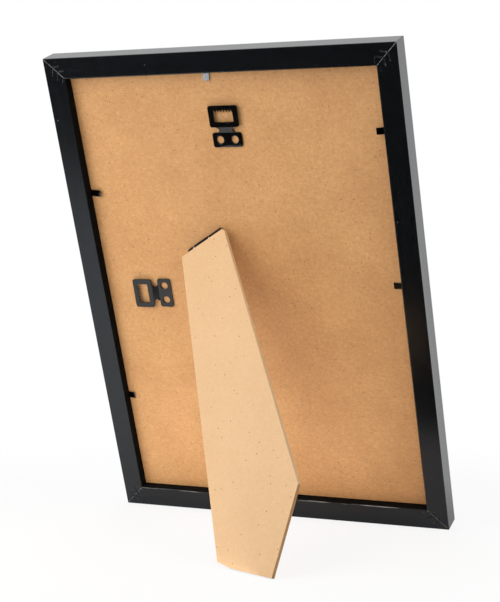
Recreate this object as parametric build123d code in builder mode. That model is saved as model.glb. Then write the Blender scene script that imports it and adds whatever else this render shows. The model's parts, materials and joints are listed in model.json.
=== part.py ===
from build123d import *
import os
from math import atan2, cos, degrees, radians, sin

# An easel back photo frame for one sheet, standing on a table on its bottom rail and its strut.
# Left and right are as seen from behind. Lengths are in millimetres, angles in degrees.

# Stance: how far the frame leans back, upright and in landscape, and how far the strut opens
lean_angle = 19.0
landscape_lean_angle = 19.8
strut_open_angle = 42.3

# Picture stack in the rebate, from the front: glazing, picture sheet, back panel
sheet_width = 210.0
sheet_height = 297.0
sheet_thickness = 0.3
glazing_thickness = 2.0
panel_thickness = 2.5
stack_clearance = 0.5
panel_clearance = 0.15

# Rails: a square bar with a lip along its front that holds the glazing
rail_width = 14.0
rail_depth = 14.0
lip_thickness = 2.8
lip_reach = 5.0
rail_edge_radius = 0.8

# V nails, driven from behind across each mitre; places run from the inner to the outer corner
nail_leg = 5.0
nail_thickness = 0.6
nail_height = 7.0
nail_sink = 0.2
nail_spread_angle = 110.0
nail_place_shares = (0.35, 0.57)

# Flex tabs, driven into the rebate wall by hand, so each reaches and lifts as it was left
tab_width = 4.3
tab_thickness = 0.5
tab_bite = 6.0
tab_stub = 0.55
tab_clearance = 0.05
tab_corner_radius = 0.4
tab_reaches = {
    "top": 6.0,
    "bottom": 7.0,
    "left_upper": 8.0,
    "left_lower": 5.1,
    "right_upper": 6.5,
    "right_lower": 6.9,
}
tab_lift_angles = {"top": 15.0, "left_upper": 14.0, "left_lower": 10.0, "right_upper": 16.0}

# The rail that each tab is in, and its place along the opening, from the left or from below
tab_place_shares = {
    "top": ("top", 0.461),
    "bottom": ("bottom", 0.461),
    "left_upper": ("left", 0.735),
    "left_lower": ("left", 0.236),
    "right_upper": ("right", 0.862),
    "right_lower": ("right", 0.524),
}

# Saw tooth hangers of pressed steel; drops run from the panel's edge to the line of the two fixings, and
# the one at the side sits a little below the middle
top_hanger_drop = 44.35
side_hanger_drop = 42.5
side_hanger_sag = 0.75
hanger_width = 20.0
hanger_thickness = 1.0
hanger_base_height = 9.5
hanger_neck_width = 9.0
hanger_neck_flare = 1.6
hanger_neck_root = 1.3
hanger_neck_height = 3.95
hanger_plate_height = 13.9
hanger_standoff = 1.5
hanger_corner_radius = 1.5
hanger_fixing_spacing = 10.1
window_width = 13.3
window_height = 6.4
window_border = 3.2
window_corner_radius = 0.6
tooth_depth = 2.0
tooth_count = 7
tooth_tip_share = 0.25

# Fixings: collars drawn out of the steel and pressed into the board behind
fixing_radius = 2.4
collar_wall = 0.5
collar_depth = 1.6
rim_radius = 0.5

# Hinge of the strut; its place is on the frame's outline, from the middle and from below. Along its axis
# the shares are of the strut's top width, and its start is from the strut's middle
hinge_across_share = -0.1132
hinge_up_share = 0.6127
hinge_slant_angle = 31.25
hinge_start_share = -0.359
lower_knuckle_share = 0.094
centre_knuckle_share = 0.316
upper_knuckle_share = 0.258
leaf_fixing_share = 0.41
knuckle_gap = 1.8
knuckle_wall = 0.8
knuckle_clearance = 0.4
pin_radius = 0.65
pin_clearance = 0.05
pin_seat_clearance = 0.01
axis_clearance = 0.2
heel_clearance = 0.05
leaf_thickness = 0.8
leaf_height = 12.0
leaf_taper = 4.5
leaf_corner_radius = 2.0
leaf_gap = 0.3
leaf_fixing_drop = 6.8

# Strut of fibreboard, which widens from its top to its two foot edges; its corners go round from the
# lower end of the hinge to its upper end, down to the landscape foot and on to the upright foot, whose
# left end is worn away
strut_thickness = 2.5
strut_top_width = 39.0
strut_flare_angle = 4.78
foot_wear_width = 11.5
foot_wear_height = 2.2
strut_corner_radii = (1.3, 2.7, 1.2, 0.6, 30.0, 0.8)

# Sizes of the frame
opening_width = sheet_width + 2 * stack_clearance
opening_height = sheet_height + 2 * stack_clearance
outer_width = opening_width + 2 * rail_width
outer_height = opening_height + 2 * rail_width
panel_width = opening_width - 2 * panel_clearance
panel_height = opening_height - 2 * panel_clearance
rebate_depth = rail_depth - lip_thickness
panel_recess = rebate_depth - glazing_thickness - sheet_thickness - panel_thickness

# Sizes of the hinge: heights are over the panel, offsets are from the hinge's axis
knuckle_radius = pin_radius + pin_clearance + knuckle_wall
axis_height = knuckle_radius + axis_clearance
strut_offset = 2 * leaf_thickness + leaf_gap - axis_height
strut_drop = knuckle_radius + knuckle_clearance
hinge_start = hinge_start_share * strut_top_width
lower_knuckle_length = lower_knuckle_share * strut_top_width
centre_knuckle_length = centre_knuckle_share * strut_top_width
upper_knuckle_length = upper_knuckle_share * strut_top_width
leaf_fixing_spacing = leaf_fixing_share * strut_top_width
centre_knuckle_start = hinge_start + lower_knuckle_length + knuckle_gap
centre_knuckle_end = centre_knuckle_start + centre_knuckle_length
upper_knuckle_start = centre_knuckle_end + knuckle_gap
hinge_end = upper_knuckle_start + upper_knuckle_length
hinge_length = hinge_end - hinge_start
leaf_middle = (hinge_start + hinge_end) / 2

# Where the tab's bend line lies in front of the rebate wall
tab_root = tab_stub + tab_clearance + tab_thickness / 2

lean = radians(lean_angle)
landscape_lean = radians(landscape_lean_angle)
flare = radians(strut_flare_angle)


def leaning_plane(depth):
    """The frame's rear face: x to the right from behind, y up the frame, z out of the rear."""
    return Plane(origin=(0, depth, 0), x_dir=(-1, 0, 0), z_dir=(0, cos(lean), -sin(lean)))


def placed(base, x, y, z=0, turn=0):
    """A plane that lies at x, y, z of a base plane and is turned about its normal."""
    return Plane(base.location * Location((x, y, z), (0, 0, turn)))


def tilted(plane, angle):
    """The plane turned about its own x."""
    return Plane(plane.location * Location((0, 0, 0), (angle, 0, 0)))


def side_view(plane):
    """The plane that looks along x, with the given plane's y to the right and its z up."""
    return Plane(plane.origin, x_dir=plane.y_dir, z_dir=plane.x_dir)


def hinge_on(base):
    """The hinge's plane: its axis is x, and y points up the panel."""
    across = hinge_across_share * outer_width
    up = hinge_up_share * outer_height
    return placed(base, across, up, axis_height - panel_recess, hinge_slant_angle)


def trace_of(plane, point, normal):
    """The line a x + b y + c = 0 in which a plane through the point cuts the given plane."""
    a = plane.x_dir.dot(normal)
    b = plane.y_dir.dot(normal)
    return a, b, (plane.origin - point).dot(normal)


def crossing(first, second):
    """The point where two such lines cross."""
    a, b, c = first
    d, e, f = second
    scale = a * e - b * d
    return Vector((b * f - c * e) / scale, (c * d - a * f) / scale)


def strut_corners(base):
    """Outline of the strut on its inner face, whose two foot edges lie on the table."""
    face = tilted(hinge_on(base), -strut_open_angle).offset(strut_offset)
    top = strut_top_width / 2
    table = trace_of(face, base.origin, Vector(0, 0, 1))
    side_edge = base.from_local_coords(Vector(outer_width / 2, 0, 0))
    side_table = base.x_dir * cos(landscape_lean) + base.z_dir * sin(landscape_lean)
    landscape_table = trace_of(face, side_edge, side_table)
    right = (cos(flare), sin(flare), sin(flare) * strut_drop - cos(flare) * top)
    left = (-cos(flare), sin(flare), sin(flare) * strut_drop - cos(flare) * top)
    hinge_low = Vector(-top, -strut_drop)
    foot_right = crossing(landscape_table, table)
    foot_left = crossing(left, table)
    return [
        hinge_low,
        Vector(top, -strut_drop),
        crossing(right, landscape_table),
        foot_right,
        foot_left + (foot_right - foot_left).normalized() * foot_wear_width,
        foot_left + (hinge_low - foot_left).normalized() * foot_wear_height,
    ]


# The frame stands so that its box is centred over the origin from front to back
table_plane = leaning_plane(0)
strut_outline = strut_corners(table_plane)
open_strut = tilted(hinge_on(table_plane), -strut_open_angle)
outer_face = Vector(0, 0, strut_offset + strut_thickness)
strut_reach = max(open_strut.from_local_coords(point + outer_face).Y for point in strut_outline)
rear_reach = max(strut_reach, outer_height * sin(lean))
rear = leaning_plane((rail_depth * cos(lean) - rear_reach) / 2)
panel_face = rear.offset(-panel_recess)
hinge = hinge_on(rear)
strut_plane = tilted(hinge, -strut_open_angle)

# Seats of the pressed steel on the boards
panel_middle = placed(panel_face, 0, outer_height / 2)
hanger_seats = {
    "hanger_top": placed(panel_middle, 0, panel_height / 2 - top_hanger_drop),
    "hanger_side": placed(panel_middle, side_hanger_drop - panel_width / 2, -side_hanger_sag, turn=90),
}
panel_leaf_seat = placed(hinge, leaf_middle, -leaf_fixing_drop, -axis_height)
strut_leaf_seat = placed(strut_plane, leaf_middle, -leaf_fixing_drop, strut_offset)

# The rails' ends, as signs of the frame's corners
rail_ends = {
    "bottom": ((-1, -1), (1, -1)),
    "top": ((-1, 1), (1, 1)),
    "left": ((-1, -1), (-1, 1)),
    "right": ((1, -1), (1, 1)),
}
corner_signs = {
    "bottom_left": (-1, -1),
    "bottom_right": (1, -1),
    "top_left": (-1, 1),
    "top_right": (1, 1),
}


def corner(signs, band):
    """Corner of the rectangle that lies a band's width inside the frame's outline."""
    across, up = signs
    half_width = outer_width / 2
    half_height = outer_height / 2
    return Vector(across * (half_width - band), half_height + up * (half_height - band))


def rail_band(side, width):
    """The four corners of a mitred strip along one side of the frame."""
    first, last = rail_ends[side]
    return corner(first, 0), corner(last, 0), corner(last, width), corner(first, width)


def nail_outline(signs, share):
    """The six corners of a V nail, with its apex on the mitre and pointing outwards."""
    inner = corner(signs, rail_width)
    outward = corner(signs, 0) - inner
    apex = inner + outward * share
    half_spread = nail_spread_angle / 2
    ridge = outward.normalized() * (nail_thickness / 2 / sin(radians(half_spread)))
    tips = []
    for turn in (1, -1):
        leg = (-outward.normalized()).rotate(Axis.Z, turn * half_spread)
        skin = leg.rotate(Axis.Z, turn * 90) * (nail_thickness / 2)
        tip = apex + leg * nail_leg
        tips.append((tip + skin, tip - skin))
    return apex + ridge, *tips[0], apex - ridge, *reversed(tips[1])


def tab_wall(name):
    """The plane of a tab at the rebate wall: x into the opening, z out of the rear."""
    side, share = tab_place_shares[name]
    first, last = [corner(signs, rail_width) for signs in rail_ends[side]]
    place = first + (last - first) * share
    inward = Vector(0, outer_height / 2) - (first + last) / 2
    height = tab_clearance + tab_thickness / 2
    return placed(panel_face, place.X, place.Y, height, degrees(atan2(inward.Y, inward.X)))


def shank_outline(name):
    """The flat shape of a tab's shank, from its end in the rail to its bend line."""
    with BuildSketch(tab_wall(name).offset(-tab_thickness / 2)) as shank:
        with Locations((-tab_bite, 0)):
            Rectangle(tab_bite + tab_stub, tab_width, align=(Align.MIN, Align.CENTER))
    return shank.sketch


def collar_rings(seat, spacing):
    """The two rings that pressed collars take up in the board behind a plate."""
    with BuildSketch(seat) as rings:
        with GridLocations(spacing, 0, 2, 1):
            Circle(fixing_radius + collar_wall)
            Circle(fixing_radius, mode=Mode.SUBTRACT)
    return rings.sketch


def leaf_outline(start):
    """The corners of a hinge leaf that tapers from the axis, cut off at a start below it."""
    inset = leaf_taper * start / leaf_height
    return (
        (hinge_start + inset, -start),
        (hinge_end - inset, -start),
        (hinge_end - leaf_taper, -leaf_height),
        (hinge_start + leaf_taper, -leaf_height),
    )


def hole_rims(part, seat):
    """The edges of the fixing holes that lie farthest out along the seat's normal."""
    circles = part.edges().filter_by(GeomType.CIRCLE)
    outermost = circles.group_by(Axis(seat.origin, seat.z_dir))[-1]
    return outermost.sort_by(SortBy.RADIUS)[-2:]


def keep(builder, name):
    """Labels a finished piece and writes it."""
    builder.part.label = name
    export_step(builder.part, f"parts/{name}.step")


os.makedirs("parts", exist_ok=True)

# Rails, mitred, with slots for the V nails and the tabs
for side, ends in rail_ends.items():
    with BuildPart() as rail:
        with BuildSketch(rear):
            Polygon(*rail_band(side, rail_width))
        extrude(amount=-rail_depth)
        with BuildSketch(rear.offset(-rail_depth)):
            Polygon(*rail_band(side, rail_width + lip_reach))
        extrude(amount=lip_thickness)
        inner_middle = (corner(ends[0], rail_width) + corner(ends[1], rail_width)) / 2
        inner_edge = rail.edges().sort_by_distance(rear.from_local_coords(inner_middle))[0]
        fillet(inner_edge, rail_edge_radius)
        with BuildSketch(rear):
            for signs in ends:
                for share in nail_place_shares:
                    Polygon(*nail_outline(signs, share))
        extrude(amount=-nail_sink - nail_height, mode=Mode.SUBTRACT)
        for name in tab_place_shares:
            if tab_place_shares[name][0] == side:
                extrude(shank_outline(name), amount=tab_thickness, mode=Mode.SUBTRACT)
    keep(rail, f"rail_{side}")

# V nails, two in each corner
for name, signs in corner_signs.items():
    with BuildPart() as nails:
        with BuildSketch(rear.offset(-nail_sink)):
            for share in nail_place_shares:
                Polygon(*nail_outline(signs, share))
        extrude(amount=-nail_height)
    keep(nails, f"corner_nails_{name}")

# Glazing and picture sheet, which lie on the lip one behind the other
stack_layers = {
    "glazing": (rebate_depth, glazing_thickness),
    "picture_sheet": (rebate_depth - glazing_thickness, sheet_thickness),
}
for name, (depth, thickness) in stack_layers.items():
    with BuildPart() as layer:
        with BuildSketch(placed(rear, 0, outer_height / 2, -depth)):
            Rectangle(sheet_width, sheet_height)
        extrude(amount=thickness)
    keep(layer, name)

# Back panel, with a ring pressed in for every collar
with BuildPart() as back_panel:
    with BuildSketch(panel_middle):
        Rectangle(panel_width, panel_height)
    extrude(amount=-panel_thickness)
    for seat in hanger_seats.values():
        extrude(collar_rings(seat, hanger_fixing_spacing), amount=-collar_depth, mode=Mode.SUBTRACT)
    leaf_rings = collar_rings(panel_leaf_seat, leaf_fixing_spacing)
    extrude(leaf_rings, amount=-collar_depth, mode=Mode.SUBTRACT)
keep(back_panel, "back_panel")

# Hangers: a base plate on the panel, a neck that slopes out and a window plate with teeth
neck_start = hanger_base_height / 2
neck_end = neck_start + hanger_neck_height
window_low = neck_end + window_border
window_top = window_low + window_height
tooth_pitch = window_width / tooth_count
half_neck = hanger_neck_width / 2
half_flare = half_neck + hanger_neck_flare
for name, seat in hanger_seats.items():
    with BuildPart() as hanger:
        with BuildSketch(side_view(seat)):
            Polygon(
                (neck_start, 0),
                (neck_end, hanger_standoff),
                (neck_end, hanger_standoff + hanger_thickness),
                (neck_start, hanger_thickness),
            )
        extrude(amount=half_flare, both=True)
        with BuildSketch(seat):
            Polygon(
                (-half_flare, neck_start),
                (half_flare, neck_start),
                (half_neck, neck_start + hanger_neck_root),
                (half_neck, neck_end - hanger_neck_root),
                (half_flare, neck_end),
                (-half_flare, neck_end),
                (-half_neck, neck_end - hanger_neck_root),
                (-half_neck, neck_start + hanger_neck_root),
            )
        extrude(amount=hanger_standoff + hanger_thickness, mode=Mode.INTERSECT)
        with BuildSketch(seat):
            RectangleRounded(hanger_width, hanger_base_height, hanger_corner_radius)
            with GridLocations(hanger_fixing_spacing, 0, 2, 1):
                Circle(fixing_radius, mode=Mode.SUBTRACT)
        extrude(amount=hanger_thickness)
        fillet(hole_rims(hanger, seat), rim_radius)
        extrude(collar_rings(seat, hanger_fixing_spacing), amount=-collar_depth)
        with BuildSketch(seat.offset(hanger_standoff)):
            with Locations((0, neck_end + hanger_plate_height / 2)):
                RectangleRounded(hanger_width, hanger_plate_height, hanger_corner_radius)
            with Locations((0, window_low + window_height / 2)):
                RectangleRounded(window_width, window_height, window_corner_radius, mode=Mode.SUBTRACT)
            for tooth in range(tooth_count):
                tooth_left = tooth * tooth_pitch - window_width / 2
                Polygon(
                    (tooth_left, window_top - tooth_depth),
                    (tooth_left + tooth_pitch, window_top - tooth_depth),
                    (tooth_left + tooth_pitch, window_top),
                    (tooth_left + tooth_pitch * tooth_tip_share, window_top + tooth_depth),
                    (tooth_left, window_top),
                    mode=Mode.SUBTRACT,
                )
        extrude(amount=hanger_thickness)
    keep(hanger, name)

# Flex tabs: the shank is held in the rail, and the blade bends on its round root
for name in tab_place_shares:
    with BuildPart() as shank:
        extrude(shank_outline(name), amount=tab_thickness)
    keep(shank, f"tab_shank_{name}")

    lift = tab_lift_angles.get(name, 0)
    root = Plane(tab_wall(name).location * Location((tab_root, 0, 0), (0, -lift, 0)))
    half_thickness = tab_thickness / 2
    blade_length = tab_reaches[name] - tab_root
    with BuildPart() as blade:
        with BuildSketch(Plane(root.origin, x_dir=root.x_dir, z_dir=-root.y_dir)):
            with BuildLine():
                Polyline(
                    (0, -half_thickness),
                    (blade_length, -half_thickness),
                    (blade_length, half_thickness),
                    (0, half_thickness),
                )
                ThreePointArc((0, half_thickness), (-half_thickness, 0), (0, -half_thickness))
            make_face()
        extrude(amount=tab_width / 2, both=True)
        upright_edges = blade.edges().filter_by(Axis(root.origin, root.z_dir))
        fillet(upright_edges.group_by(Axis(root.origin, root.x_dir))[-1], tab_corner_radius)
    keep(blade, f"tab_blade_{name}")

# Hinge leaf on the panel, with the two end knuckles
axis_view = side_view(hinge)
with BuildPart() as hinge_panel_leaf:
    with BuildSketch(hinge.offset(-axis_height)) as panel_leaf:
        Polygon(*leaf_outline(0))
        fillet(panel_leaf.vertices().sort_by(Axis.Y)[:2], leaf_corner_radius)
        with Locations((centre_knuckle_start - knuckle_gap, 0)):
            notch_width = centre_knuckle_length + 2 * knuckle_gap
            Rectangle(notch_width, strut_drop, align=(Align.MIN, Align.MAX), mode=Mode.SUBTRACT)
        with Locations((leaf_middle, -leaf_fixing_drop)):
            with GridLocations(leaf_fixing_spacing, 0, 2, 1):
                Circle(fixing_radius, mode=Mode.SUBTRACT)
    extrude(amount=leaf_thickness)
    fillet(hole_rims(hinge_panel_leaf, panel_leaf_seat), rim_radius)
    extrude(collar_rings(panel_leaf_seat, leaf_fixing_spacing), amount=-collar_depth)
    with BuildSketch(axis_view.offset(hinge_start)):
        Circle(knuckle_radius)
    extrude(amount=lower_knuckle_length)
    with BuildSketch(axis_view.offset(upper_knuckle_start)):
        Circle(knuckle_radius)
    extrude(amount=upper_knuckle_length)
    with BuildSketch(axis_view.offset(hinge_start)):
        Circle(pin_radius + pin_seat_clearance)
    extrude(amount=hinge_length, mode=Mode.SUBTRACT)
keep(hinge_panel_leaf, "hinge_panel_leaf")

# Hinge leaf on the strut, with the centre knuckle and the heel that stops the strut when it is open
inner_leaf_face = strut_plane.offset(strut_offset - leaf_thickness)
with BuildPart() as hinge_strut_leaf:
    with BuildSketch(inner_leaf_face) as strut_leaf:
        with Locations((centre_knuckle_start, 0)):
            Rectangle(centre_knuckle_length, strut_drop, align=(Align.MIN, Align.MAX))
        Polygon(*leaf_outline(strut_drop))
        fillet(strut_leaf.vertices().sort_by(Axis.Y)[:2], leaf_corner_radius)
        with Locations((leaf_middle, -leaf_fixing_drop)):
            with GridLocations(leaf_fixing_spacing, 0, 2, 1):
                Circle(fixing_radius, mode=Mode.SUBTRACT)
    extrude(amount=leaf_thickness)
    fillet(hole_rims(hinge_strut_leaf, Plane(strut_plane.origin, z_dir=-strut_plane.z_dir)), rim_radius)
    extrude(collar_rings(strut_leaf_seat, leaf_fixing_spacing), amount=collar_depth)
    with BuildSketch(axis_view.offset(centre_knuckle_start)):
        Circle(knuckle_radius)
        Polygon(
            (0, 0),
            (0, heel_clearance - axis_height),
            (knuckle_radius, heel_clearance - axis_height),
            (knuckle_radius, 0),
        )
    extrude(amount=centre_knuckle_length)
    with BuildSketch(axis_view.offset(centre_knuckle_start)):
        Circle(pin_radius + pin_clearance)
    extrude(amount=centre_knuckle_length, mode=Mode.SUBTRACT)
keep(hinge_strut_leaf, "hinge_strut_leaf")

# Hinge pin through all three knuckles
with BuildPart() as hinge_pin:
    with BuildSketch(axis_view.offset(hinge_start)):
        Circle(pin_radius)
    extrude(amount=hinge_length)
keep(hinge_pin, "hinge_pin")

# Strut, cut square to its faces, with rings pressed in for its leaf's collars
with BuildPart() as strut:
    with BuildSketch(strut_plane.offset(strut_offset)) as strut_sketch:
        Polygon(*strut_outline)
        for point, radius in zip(strut_outline, strut_corner_radii):
            fillet(strut_sketch.vertices().sort_by_distance(point)[0], radius)
    extrude(amount=strut_thickness)
    strut_rings = collar_rings(strut_leaf_seat, leaf_fixing_spacing)
    extrude(strut_rings, amount=collar_depth, mode=Mode.SUBTRACT)
keep(strut, "strut")
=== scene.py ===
import json
import math

import bpy
from mathutils import Euler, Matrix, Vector

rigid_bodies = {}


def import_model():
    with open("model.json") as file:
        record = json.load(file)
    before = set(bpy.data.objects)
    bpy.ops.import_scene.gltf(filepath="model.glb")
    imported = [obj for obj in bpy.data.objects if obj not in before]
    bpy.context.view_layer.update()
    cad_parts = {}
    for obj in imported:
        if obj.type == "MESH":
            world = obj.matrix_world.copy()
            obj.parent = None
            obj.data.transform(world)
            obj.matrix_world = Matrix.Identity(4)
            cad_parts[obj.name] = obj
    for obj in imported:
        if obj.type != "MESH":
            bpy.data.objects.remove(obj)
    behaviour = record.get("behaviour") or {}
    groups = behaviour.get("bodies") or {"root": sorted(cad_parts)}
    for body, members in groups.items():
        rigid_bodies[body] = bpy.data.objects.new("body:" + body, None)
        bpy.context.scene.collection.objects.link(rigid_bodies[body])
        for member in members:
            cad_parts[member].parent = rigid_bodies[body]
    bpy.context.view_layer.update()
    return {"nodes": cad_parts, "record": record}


# An easel back photo frame seen from behind. Lengths are in metres, in the frame of the CAD model.
# Left and right are as seen from behind, so left is +X.

for old in list(bpy.data.objects):
    bpy.data.objects.remove(old)
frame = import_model()
nodes = frame["nodes"]
mm = 0.001

# Sizes and directions that the materials need, as in the CAD model
LEAN = math.radians(19)
OUTER_WIDTH = 239 * mm
OUTER_HEIGHT = 326 * mm
RAIL_WIDTH = 14 * mm
UP_THE_FRAME = Vector((0, math.sin(LEAN), math.cos(LEAN)))
REAR_NORMAL = (0, math.cos(LEAN), -math.sin(LEAN))
STRUT_NORMAL = (0.3491, 0.8867, 0.3032)
wall_face = next(m for m in frame["record"]["mounts"] if m["name"] == "wall_face")
rear_edge = Vector(wall_face["pos_m"]) - UP_THE_FRAME * (OUTER_HEIGHT - RAIL_WIDTH / 2)


def linear(red, green, blue):
    """A colour given in the usual 0 to 255 steps, as linear light with alpha."""
    def channel(c):
        c = c / 255
        return c / 12.92 if c <= 0.04045 else ((c + 0.055) / 1.055) ** 2.4
    return channel(red), channel(green), channel(blue), 1.0


# Colours of the pieces; a pair is the two ends of a blend
# The panel's colours are more saturated than the strut's, though both are hardboard: partly its own tone,
# partly painted bounce light of its recess
PANEL_DEEP_PAINTED_BOUNCE, PANEL_PALE_PAINTED_BOUNCE = linear(176, 123, 72), linear(226, 175, 117)
STRUT_DEEP, STRUT_PALE = linear(208, 168, 123), linear(229, 192, 148)
SPECK_DARK, SPECK_PALE = linear(110, 70, 36), linear(252, 222, 178)
# Cut edges in two copies: their own brown as the painted shaded copy, and a painted lit copy for edges that
# face up
CUT_BROWN_SHADED = linear(150, 106, 62), linear(190, 146, 98)
CUT_BRIGHT_LIT = linear(200, 163, 121), linear(226, 192, 150)
RAIL_PAINT = linear(7, 8, 10), linear(13, 15, 18)
# The film's grey is partly its own colour and partly painted sheen of the outer faces
RAIL_FILM_AND_SHEEN = linear(16, 17, 18), linear(34, 35, 36)
RAIL_DULL = linear(6, 6, 6), linear(13, 12, 11)
RAIL_WORN = linear(176, 177, 178)
RAIL_SHINE = (0.86, 0.93, 1.0, 1.0)
LACQUER = linear(3, 3, 3), linear(7, 7, 8)
LACQUER_WORN = linear(110, 112, 114)
TAB_STEEL = linear(89, 92, 96), linear(107, 110, 114)
TAB_DRAWN = linear(138, 142, 146)
WIRE_STEEL = linear(200, 206, 212), linear(232, 238, 242)
NAIL_STEEL = linear(11, 11, 13), linear(96, 98, 102)
CARD_FELT = linear(236, 235, 230), linear(245, 244, 240)
CARD_CLOUD = linear(230, 229, 222)
GLASS_TINT = (0.96, 0.985, 0.975, 1.0)

# Colours of the stage
WHITE = (1.0, 1.0, 1.0, 1.0)
FLOOR_WHITE = linear(246, 246, 246)
CARD_BLACK = linear(14, 14, 15)


class Shade:
    """A material and short calls for the nodes of its tree."""

    def __init__(self, name):
        self.material = bpy.data.materials.new(name)
        self.material.use_nodes = True
        self.tree = self.material.node_tree
        self.tree.nodes.clear()
        self.output = self.tree.nodes.new("ShaderNodeOutputMaterial")
        coordinates = self.tree.nodes.new("ShaderNodeTexCoord")
        self.place = coordinates.outputs["Object"]
        self.normal = coordinates.outputs["Normal"]

    def feed(self, socket, value):
        """Link the socket to another one, or set it to a plain value."""
        if isinstance(value, bpy.types.NodeSocket):
            self.tree.links.new(value, socket)
        elif value is not None:
            socket.default_value = value

    def node(self, kind, settings=None, **inputs):
        """A node of the given kind, with inputs named as in Blender but for the spaces."""
        n = self.tree.nodes.new("ShaderNode" + kind)
        for key, value in (settings or {}).items():
            setattr(n, key, value)
        for key, value in inputs.items():
            self.feed(n.inputs[key.replace("_", " ")], value)
        return n

    def math(self, operation, a, b=None, clamp=False):
        n = self.node("Math", {"operation": operation, "use_clamp": clamp})
        self.feed(n.inputs[0], a)
        self.feed(n.inputs[1], b)
        return n.outputs[0]

    def times(self, a, b):
        return self.math("MULTIPLY", a, b)

    def vector_math(self, operation, a, b):
        n = self.node("VectorMath", {"operation": operation})
        self.feed(n.inputs[0], a)
        self.feed(n.inputs[1], b)
        return n.outputs["Value"]

    def mapped(self, vector, location=(0, 0, 0), turn=(0, 0, 0), scale=(1, 1, 1)):
        n = self.node("Mapping", Vector=vector, Location=location, Rotation=turn, Scale=scale)
        return n.outputs[0]

    def noise(self, vector, size, detail=3.0, roughness=0.5, distortion=0.0):
        """Noise whose features are about the given size in metres."""
        n = self.node("TexNoise", Vector=vector, Scale=1 / size, Detail=detail, Roughness=roughness,
                      Distortion=distortion)
        return n.outputs[0]

    def specks(self, vector, pitch, radius, share, seed):
        """1 in round specks, which lie in a share of the cells of the given pitch."""
        moved = self.mapped(vector, location=(seed, seed * 2, seed * 3))
        n = self.node("TexVoronoi", {"feature": "F1"}, Vector=moved, Scale=1 / pitch)
        inside = self.band(n.outputs["Distance"], radius / pitch, radius / pitch * 0.6)
        chosen = self.band(self.split(n.outputs["Color"])[0], 1 - share, 1 - share + 0.02)
        return self.times(inside, chosen)

    def split(self, vector):
        return self.node("SeparateXYZ", Vector=vector).outputs

    def band(self, value, low, high, top=1.0):
        """A smooth step of value from 0 at low to top at high."""
        n = self.node("MapRange", {"interpolation_type": "SMOOTHSTEP"})
        self.feed(n.inputs["Value"], value)
        n.inputs["From Min"].default_value = low
        n.inputs["From Max"].default_value = high
        n.inputs["To Max"].default_value = top
        return n.outputs[0]

    def ranged(self, value, low, high):
        """Noise about its middle, spread to run from low to high."""
        n = self.node("MapRange")
        self.feed(n.inputs["Value"], value)
        n.inputs["From Min"].default_value = 0.3
        n.inputs["From Max"].default_value = 0.7
        n.inputs["To Min"].default_value = low
        n.inputs["To Max"].default_value = high
        return n.outputs[0]

    def blend(self, factor, first, second):
        """The first colour where the factor is 0, and the second where it is 1."""
        n = self.node("Mix", {"data_type": "RGBA", "clamp_factor": True})
        self.feed(n.inputs[0], factor)
        self.feed(n.inputs[6], first)
        self.feed(n.inputs[7], second)
        return n.outputs[2]

    def bump(self, height, depth, strength=0.5):
        """A normal that follows the height, where 1 stands the depth in metres over 0."""
        return self.node("Bump", Height=height, Distance=depth, Strength=strength).outputs[0]

    def surface(self, **inputs):
        return self.node("BsdfPrincipled", **inputs).outputs[0]

    def mixed(self, factor, first, second):
        """The first shader where the factor is 0, and the second where it is 1."""
        n = self.node("MixShader", Fac=factor)
        self.feed(n.inputs[1], first)
        self.feed(n.inputs[2], second)
        return n.outputs[0]

    def finish(self, shader=None, **inputs):
        """The material, with the given shader or a surface of the given inputs."""
        self.feed(self.output.inputs["Surface"], shader or self.surface(**inputs))
        return self.material

    def on_frame(self):
        """Places along the frame: x as in the CAD, y out of the rear face, z up from the lower edge."""
        turned = self.mapped(self.place, turn=(LEAN, 0, 0))
        shift = (0, -rear_edge.y * math.cos(LEAN), -rear_edge.y * math.sin(LEAN))
        return self.mapped(turned, location=shift)


def fibreboard(name, pale, deep, board_normal):
    """Bare hardboard: felted fibres, dark and pale specks, soft clouds, and browner cut edges with painted
    light where they face up.
    """
    s = Shade(name)
    felt_size, cloud_size, layer_size = 2.2 * mm, 38 * mm, 1 * mm
    fibre_size, cross_size = 0.7 * mm, 0.8 * mm
    speck_pitch, dark_radius, pale_radius = 4.2 * mm, 0.5 * mm, 0.55 * mm
    relief_depth = 0.16 * mm
    felt = s.noise(s.place, felt_size, 5, 0.72, 0.4)
    fibres = s.noise(s.mapped(s.place, scale=(1, 1, 0.3)), fibre_size, 3, 0.65, 1.2)
    cross_fibres = s.noise(s.mapped(s.place, scale=(0.3, 0.6, 1)), cross_size, 3, 0.65, 1.2)
    clouds = s.noise(s.place, cloud_size, 3, 0.55)
    tone = s.math("ADD", s.ranged(felt, 0.2, 0.54), s.ranged(fibres, -0.12, 0.16))
    tone = s.math("ADD", tone, s.ranged(cross_fibres, -0.12, 0.16))
    tone = s.math("ADD", tone, s.ranged(clouds, -0.12, 0.12), clamp=True)
    colour = s.blend(tone, deep, pale)
    dark = s.specks(s.place, speck_pitch, dark_radius, 0.5, 1.3)
    fleck = s.specks(s.mapped(s.place, scale=(1, 1, 0.45)), speck_pitch, pale_radius, 0.3, 4.7)
    colour = s.blend(s.times(dark, 0.8), colour, SPECK_DARK)
    colour = s.blend(s.times(fleck, 0.14), colour, SPECK_PALE)
    # Cut edges: browner than the faces, with painted light that makes them brighter where they face up and
    # painted shade where they face sideways or down
    cut = s.band(s.math("ABSOLUTE", s.vector_math("DOT_PRODUCT", s.normal, board_normal)), 0.6, 0.25)
    layers = s.noise(s.place, layer_size, 3, 0.7)
    painted_light_upward = s.band(s.split(s.normal)[2], 0.0, 0.4)
    edge_colour = s.blend(painted_light_upward, s.blend(layers, *CUT_BROWN_SHADED), s.blend(layers, *CUT_BRIGHT_LIT))
    colour = s.blend(cut, colour, edge_colour)
    relief = s.bump(s.math("ADD", s.times(felt, 0.5), s.times(fibres, 0.5)), relief_depth, 0.55)
    return s.finish(Base_Color=colour, Roughness=s.ranged(felt, 0.5, 0.66), Normal=relief,
                    Specular_IOR_Level=0.5)


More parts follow.
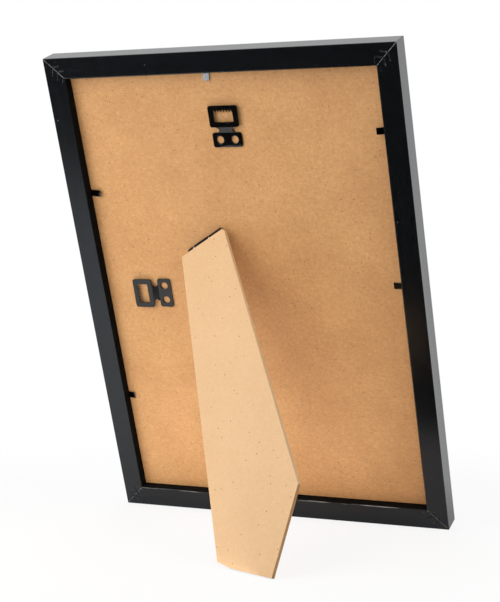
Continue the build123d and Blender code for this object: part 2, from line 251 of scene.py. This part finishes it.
def rail_film(name, along):
    """Black rails: satin film outside, black paint on the rear, a dull rebate wall, and worn mitres."""
    s = Shade(name)
    streak_size, grain_size, mottle_size, smear_size = 0.9 * mm, 0.35 * mm, 5 * mm, 7 * mm
    chip_size, scuff_size, rub_size = 2.6 * mm, 1.3 * mm, 2.2 * mm
    dust_pitch, dust_radius, relief_depth = 7 * mm, 0.42 * mm, 0.05 * mm
    rub_line, rub_height = RAIL_WIDTH - 0.4 * mm, (40 * mm, 25 * mm)
    place = s.on_frame()
    across, out, up = s.split(place)
    # How far a point lies from the nearest mitre, along the rear face
    from_side = s.math("SUBTRACT", OUTER_WIDTH / 2, s.math("ABSOLUTE", across))
    from_middle = s.math("ABSOLUTE", s.math("SUBTRACT", up, OUTER_HEIGHT / 2))
    from_end = s.math("SUBTRACT", OUTER_HEIGHT / 2, from_middle)
    to_mitre = s.math("ABSOLUTE", s.math("SUBTRACT", from_side, from_end))
    inward = s.math("MINIMUM", from_side, from_end)
    # The rear face is painted, the rebate wall is dull, and the film covers the rest
    faces_rear = s.vector_math("DOT_PRODUCT", s.normal, REAR_NORMAL)
    rebate = s.times(s.band(inward, 12.6 * mm, 13.2 * mm), s.band(out, -12.4 * mm, -11.6 * mm))
    film = s.times(s.band(faces_rear, 0.85, 0.4), s.math("SUBTRACT", 1.0, rebate))
    wall = s.times(s.band(faces_rear, 0.95, 0.5), rebate)
    stretched = s.mapped(place, scale=(0.05, 1, 1) if along == "x" else (1, 1, 0.05))
    streaks = s.noise(stretched, streak_size, 4, 0.65)
    grain = s.noise(place, grain_size, 3, 0.6)
    mottle = s.noise(place, mottle_size, 4, 0.62, 0.6)
    smears = s.noise(stretched, smear_size, 4, 0.6)
    paint_colour = s.blend(s.ranged(mottle, 0, 1), *RAIL_PAINT)
    # The film is a lighter grey than the rear paint: partly its own colour, partly painted sheen of the
    # outer faces
    film_and_sheen_colour = s.blend(s.ranged(streaks, 0, 1), *RAIL_FILM_AND_SHEEN)
    colour = s.blend(film, paint_colour, film_and_sheen_colour)
    # Mitre lines, scuffs near them and rubbed inner edges low down, all at the rear; and specks of dust
    chips = s.noise(place, chip_size, 4, 0.7)
    line = s.times(s.band(to_mitre, 0.32 * mm, 0.1 * mm), s.band(chips, 0.4, 0.52))
    scuff_place = s.mapped(place, turn=(0, 0.9, 0), scale=(1, 1, 0.22))
    scuff_lines = s.band(s.noise(scuff_place, scuff_size, 3, 0.6), 0.63, 0.72)
    near_mitre = s.times(s.band(to_mitre, 9 * mm, 2 * mm), s.band(inward, 16 * mm, 11 * mm))
    scuffs = s.times(scuff_lines, near_mitre)
    off_rub_line = s.math("ABSOLUTE", s.math("SUBTRACT", inward, rub_line))
    rubbed = s.times(s.band(off_rub_line, 0.7 * mm, 0.2 * mm),
                     s.band(s.noise(stretched, rub_size, 3, 0.6), 0.5, 0.62))
    rubbed = s.times(rubbed, s.band(up, *rub_height))
    dust = s.specks(place, dust_pitch, dust_radius, 0.14, 2.9)
    worn = s.math("MAXIMUM", s.times(line, 0.68), s.times(scuffs, 0.42))
    worn = s.math("MAXIMUM", worn, s.times(rubbed, 0.85))
    worn = s.times(worn, s.band(out, -3 * mm, -1.5 * mm))
    worn = s.math("MAXIMUM", worn, s.times(dust, 0.4))
    colour = s.blend(worn, colour, RAIL_WORN)
    roughness = s.math("ADD", s.ranged(smears, 0.23, 0.28), s.times(worn, 0.25))
    streaked = s.times(streaks, s.math("ADD", 0.12, s.times(film, 0.5)))
    relief = s.bump(s.math("ADD", s.times(grain, 0.4), streaked), relief_depth)
    coat = s.times(film, s.ranged(smears, 0.12, 0.28))
    skin = s.surface(Base_Color=colour, Roughness=roughness, Normal=relief, Specular_IOR_Level=0.56,
                     Specular_Tint=RAIL_SHINE, Coat_Weight=coat, Coat_Roughness=0.22, Coat_IOR=1.7)
    dull = s.surface(Base_Color=s.blend(s.ranged(mottle, 0, 1), *RAIL_DULL), Roughness=0.9, Normal=relief,
                     Specular_IOR_Level=0.1)
    return s.finish(s.mixed(wall, skin, dull))


def black_lacquer(name, gloss, smooth):
    """Pressed steel under black lacquer, with a fine orange peel and a few rubbed spots."""
    s = Shade(name)
    peel_size, rub_size, relief_depth = 0.45 * mm, 2.4 * mm, 0.03 * mm
    peel = s.noise(s.place, peel_size, 3, 0.55)
    rub = s.noise(s.place, rub_size, 5, 0.7, 0.5)
    worn = s.band(rub, 0.66, 0.74)
    colour = s.blend(s.ranged(rub, 0, 1), *LACQUER)
    colour = s.blend(s.times(worn, 0.3), colour, LACQUER_WORN)
    roughness = s.math("ADD", s.ranged(peel, smooth, smooth + 0.12), s.times(worn, 0.15))
    return s.finish(Base_Color=colour, Roughness=roughness, Normal=s.bump(peel, relief_depth),
                    Specular_IOR_Level=gloss)


def spring_steel(name):
    """Blued tab steel: dark oxide with fine drawn scratches."""
    s = Shade(name)
    scratch_size, stain_size, relief_depth = 0.25 * mm, 1.6 * mm, 0.02 * mm
    drawn = s.noise(s.mapped(s.place, scale=(1, 0.2, 0.2)), scratch_size, 3, 0.6)
    stain = s.noise(s.place, stain_size, 4, 0.6)
    colour = s.blend(s.ranged(stain, 0, 1), *TAB_STEEL)
    colour = s.blend(s.band(drawn, 0.62, 0.75, 0.5), colour, TAB_DRAWN)
    return s.finish(Base_Color=colour, Metallic=1.0, Roughness=s.ranged(stain, 0.12, 0.2),
                    Normal=s.bump(drawn, relief_depth))


def bright_steel(name):
    """Drawn steel wire for the hinge pin: fine lengthwise lines and a grey bloom."""
    s = Shade(name)
    line_size, bloom_size, relief_depth = 0.2 * mm, 1.1 * mm, 0.02 * mm
    lines = s.noise(s.mapped(s.place, scale=(0.15, 1, 0.6)), line_size, 3, 0.6)
    bloom = s.noise(s.place, bloom_size, 4, 0.65)
    return s.finish(Base_Color=s.blend(s.ranged(bloom, 0, 1), *WIRE_STEEL), Metallic=0.4,
                    Roughness=s.ranged(bloom, 0.26, 0.42), Normal=s.bump(lines, relief_depth))


def nail_steel(name):
    """V nails: dull grey steel, mostly under paint and dust, with a few bare spots."""
    s = Shade(name)
    spot_size, grain_size, relief_depth = 1.8 * mm, 0.3 * mm, 0.03 * mm
    bare = s.noise(s.place, spot_size, 4, 0.65)
    grain = s.noise(s.place, grain_size, 3, 0.6)
    return s.finish(Base_Color=s.blend(s.band(bare, 0.5, 0.66), *NAIL_STEEL),
                    Roughness=s.ranged(grain, 0.45, 0.6), Normal=s.bump(grain, relief_depth),
                    Specular_IOR_Level=0.4)


def card(name):
    """The bare sheet: smooth white card with a faint felt and soft clouds."""
    s = Shade(name)
    felt_size, cloud_size, relief_depth = 1.2 * mm, 30 * mm, 0.03 * mm
    felt = s.noise(s.place, felt_size, 4, 0.6)
    clouds = s.noise(s.place, cloud_size, 3, 0.5)
    colour = s.blend(s.ranged(felt, 0.2, 0.8), *CARD_FELT)
    colour = s.blend(s.ranged(clouds, 0, 0.25), colour, CARD_CLOUD)
    return s.finish(Base_Color=colour, Roughness=s.ranged(felt, 0.7, 0.8),
                    Normal=s.bump(felt, relief_depth, 0.4), Specular_IOR_Level=0.3)


def clear_glass(name):
    """Float glass with a faint film of handling marks."""
    s = Shade(name)
    mark_size = 26 * mm
    marks = s.noise(s.place, mark_size, 5, 0.62, 1.0)
    return s.finish(Base_Color=GLASS_TINT, Roughness=s.band(marks, 0.55, 0.8, 0.05),
                    Transmission_Weight=1.0, IOR=1.52)


# Materials on the CAD nodes, by the name of the node or by how it starts
film_across = rail_film("rail_film_across", "x")
film_up = rail_film("rail_film_up", "z")
looks = {
    "back_panel": fibreboard("fibreboard_panel", PANEL_PALE_PAINTED_BOUNCE, PANEL_DEEP_PAINTED_BOUNCE, REAR_NORMAL),
    "strut": fibreboard("fibreboard_strut", STRUT_PALE, STRUT_DEEP, STRUT_NORMAL),
    "picture_sheet": card("sheet_card"),
    "glazing": clear_glass("clear_glass"),
    "rail_top": film_across,
    "rail_bottom": film_across,
    "rail_left": film_up,
    "rail_right": film_up,
    "corner_nails": nail_steel("nail_steel"),
    "hinge_pin": bright_steel("bright_steel"),
    "hinge": black_lacquer("hinge_lacquer", gloss=0.2, smooth=0.5),
    "hanger": black_lacquer("black_lacquer", gloss=0.64, smooth=0.13),
    "tab": spring_steel("tab_steel"),
}
for name, obj in nodes.items():
    look = next(m for stem, m in looks.items() if name.startswith(stem))
    for slot in obj.material_slots:
        slot.material = look

# Light falls through the clear glass onto the sheet
nodes["glazing"].visible_shadow = False

# Softened edges: how wide each kind of piece is bevelled
EDGE_WIDTHS = {"rail": 0.35 * mm, "strut": 0.3 * mm, "hanger": 0.12 * mm, "tab_blade": 0.08 * mm,
               "glazing": 0.15 * mm}
WELD_DISTANCE = 0.001 * mm
FLAT_ANGLE = math.radians(0.5)
EDGE_ANGLE = math.radians(35)
AIR_FILM = 0.1 * mm
for name, obj in nodes.items():
    width = next((w for stem, w in EDGE_WIDTHS.items() if name.startswith(stem)), None)
    if width is None:
        continue
    weld = obj.modifiers.new("weld", "WELD")
    weld.merge_threshold = WELD_DISTANCE
    flat = obj.modifiers.new("flat_faces", "DECIMATE")
    flat.decimate_type = "DISSOLVE"
    flat.angle_limit = FLAT_ANGLE
    if name == "glazing":
        # A film of air, which keeps the glass off the sheet behind it
        film = obj.modifiers.new("air_film", "DISPLACE")
        film.mid_level = 0.0
        film.strength = -AIR_FILM
    bevel = obj.modifiers.new("soft_edges", "BEVEL")
    bevel.width = width
    bevel.segments = 2
    bevel.limit_method = "ANGLE"
    bevel.angle_limit = EDGE_ANGLE
    bevel.use_clamp_overlap = True


def plain(name, colour):
    """A matt colour for the stage."""
    s = Shade(name)
    return s.finish(s.node("BsdfDiffuse", Color=colour).outputs[0])


def white_floor(name):
    """A matt floor that a camera or a mirror sees as partly white of itself, and wholly so farther out."""
    s = Shade(name)
    # The white shares near the object, and the distances over which they grow to 1
    seen_near, seen_from, seen_to = 0.86, 0.2, 0.45
    mirrored_near, mirrored_from, mirrored_to = 0.08, 0.14, 0.34
    path = s.node("LightPath").outputs
    off = s.vector_math("DISTANCE", s.place, (0, 0, 0))
    seen_share = s.math("ADD", seen_near, s.band(off, seen_from, seen_to, 1 - seen_near))
    mirrored_share = s.math("ADD", mirrored_near, s.band(off, mirrored_from, mirrored_to, 1 - mirrored_near))
    seen = s.times(s.math("MAXIMUM", path["Is Camera Ray"], path["Is Transmission Ray"]), seen_share)
    mirrored = s.times(path["Is Glossy Ray"], mirrored_share)
    glow = s.node("Emission", Color=WHITE, Strength=1.0)
    matt = s.node("BsdfDiffuse", Color=FLOOR_WHITE)
    return s.finish(s.mixed(s.math("MAXIMUM", seen, mirrored), matt.outputs[0], glow.outputs[0]))


def sheet(name, corners, material):
    """A flat piece of the stage."""
    mesh = bpy.data.meshes.new(name)
    mesh.from_pydata(corners, [], [range(len(corners))])
    mesh.materials.append(material)
    obj = bpy.data.objects.new(name, mesh)
    bpy.context.scene.collection.objects.link(obj)
    return obj


FLOOR_HEIGHT = -0.0002
FLOOR_REACH = 8
floor_corners = [(-FLOOR_REACH, -FLOOR_REACH, FLOOR_HEIGHT), (FLOOR_REACH, -FLOOR_REACH, FLOOR_HEIGHT),
                 (FLOOR_REACH, FLOOR_REACH, FLOOR_HEIGHT), (-FLOOR_REACH, FLOOR_REACH, FLOOR_HEIGHT)]
sheet("floor", floor_corners, white_floor("floor_white"))

# Dark cards on the camera's side, which only reflections show: one lies on the floor, one stands behind it
CARD_HEIGHT = 0.0005
CARD_REACH = 3
CARD_BACK = 2.6
CARD_TOP = 1.3
low_outline = [(-0.3, -0.05), (-0.02, 0.03), (0.01, 0.15), (0.4, 0.35), (0.47, 0.2), (0.6, 0.06),
               (CARD_REACH, 0.06), (CARD_REACH, CARD_BACK), (-CARD_REACH, CARD_BACK)]
low_card = [(x, y, CARD_HEIGHT) for x, y in low_outline]
back_card = [(-CARD_REACH, CARD_BACK, 0), (CARD_REACH, CARD_BACK, 0), (CARD_REACH, CARD_BACK, CARD_TOP),
             (-CARD_REACH, CARD_BACK, CARD_TOP)]
dark = plain("card_black", CARD_BLACK)
for name, corners in (("card_low", low_card), ("card_back", back_card)):
    obj = sheet(name, corners, dark)
    obj.visible_camera = False
    obj.visible_diffuse = False
    obj.visible_transmission = False
    obj.visible_shadow = False

AMBIENT = 0.17
world = bpy.data.worlds.new("studio")
bpy.context.scene.world = world
world.use_nodes = True
tree = world.node_tree
tree.nodes.clear()
path = tree.nodes.new("ShaderNodeLightPath").outputs


def background(strength):
    """A white background of the given strength."""
    n = tree.nodes.new("ShaderNodeBackground")
    n.inputs["Color"].default_value = WHITE
    n.inputs["Strength"].default_value = strength
    return n.outputs[0]


def over(factor, under, upper):
    """The upper shader where the factor is 1, and the one under it elsewhere."""
    n = tree.nodes.new("ShaderNodeMixShader")
    for socket, value in zip(n.inputs, (factor, under, upper)):
        tree.links.new(value, socket)
    return n.outputs[0]


# Dim for the light on the object, and white for what the camera, mirrors and glass see
shader = background(AMBIENT)
for ray in ("Is Camera Ray", "Is Glossy Ray", "Is Transmission Ray"):
    shader = over(path[ray], shader, background(1.0))
output = tree.nodes.new("ShaderNodeOutputWorld")
tree.links.new(shader, output.inputs["Surface"])


def softbox(name, place, target, width, height, power, colour=(1.0, 1.0, 1.0)):
    """A rectangular lamp at place that faces the target and isn't seen by the camera or through glass."""
    data = bpy.data.lights.new(name, "AREA")
    data.shape = "RECTANGLE"
    data.size = width
    data.size_y = height
    data.energy = power
    data.color = colour
    obj = bpy.data.objects.new(name, data)
    bpy.context.scene.collection.objects.link(obj)
    obj.location = place
    obj.rotation_euler = (Vector(target) - Vector(place)).to_track_quat("-Z", "Y").to_euler()
    obj.visible_camera = False
    obj.visible_transmission = False
    return obj


# Lamps: name, place, target, width, height and watts. Only the key shows in reflections, and the last of
# the fill lamps stands for the floor's own light under the strut
KEY_WARMTH = (1.0, 0.99, 0.97)
softbox("key", (0.25, 0.51, 0.45), (0.02, -0.02, 0.15), 0.45, 0.6, 2.55, KEY_WARMTH)
FILL_LAMPS = (
    ("left", (0.5, 0.32, 0.17), (0.05, -0.02, 0.15), 0.35, 0.4, 0.95),
    ("right", (-0.8, 0.25, 0.8), (0, 0.03, 0.12), 0.5, 0.5, 4),
    ("front", (0.35, -0.75, 1.0), (0, 0, 0.2), 1.4, 0.9, 0.8),
    ("low_front", (0.3, -1.1, 0.55), (0, 0, 0.15), 0.7, 0.6, 5),
    ("overhead", (0.25, 0.3, 1.6), (0.05, 0.05, 0), 1.2, 1.2, 5),
    ("bounce", (0.06, 0.02, 0.001), (0.06, 0.02, 1), 0.32, 0.13, 0.14),
)
for lamp in FILL_LAMPS:
    softbox(*lamp).visible_glossy = False

# Camera at the photograph's place, as solved from the frame's edges; the lens and sensor are in
# millimetres and the turn in degrees
PHOTO_PLACE = (-0.40879, 0.88629, 0.22127)
PHOTO_TURN = (85.9916, 0.4455, -155.8908)
PHOTO_LENS = 92.046
SENSOR_WIDTH = 36
camera_data = bpy.data.cameras.new("camera")
camera_data.lens = PHOTO_LENS
camera_data.sensor_width = SENSOR_WIDTH
camera = bpy.data.objects.new("camera", camera_data)
bpy.context.scene.collection.objects.link(camera)
camera.location = PHOTO_PLACE
camera.rotation_euler = Euler([math.radians(a) for a in PHOTO_TURN], "XYZ")
bpy.context.scene.camera = camera
bpy.context.scene.view_settings.view_transform = "Standard"
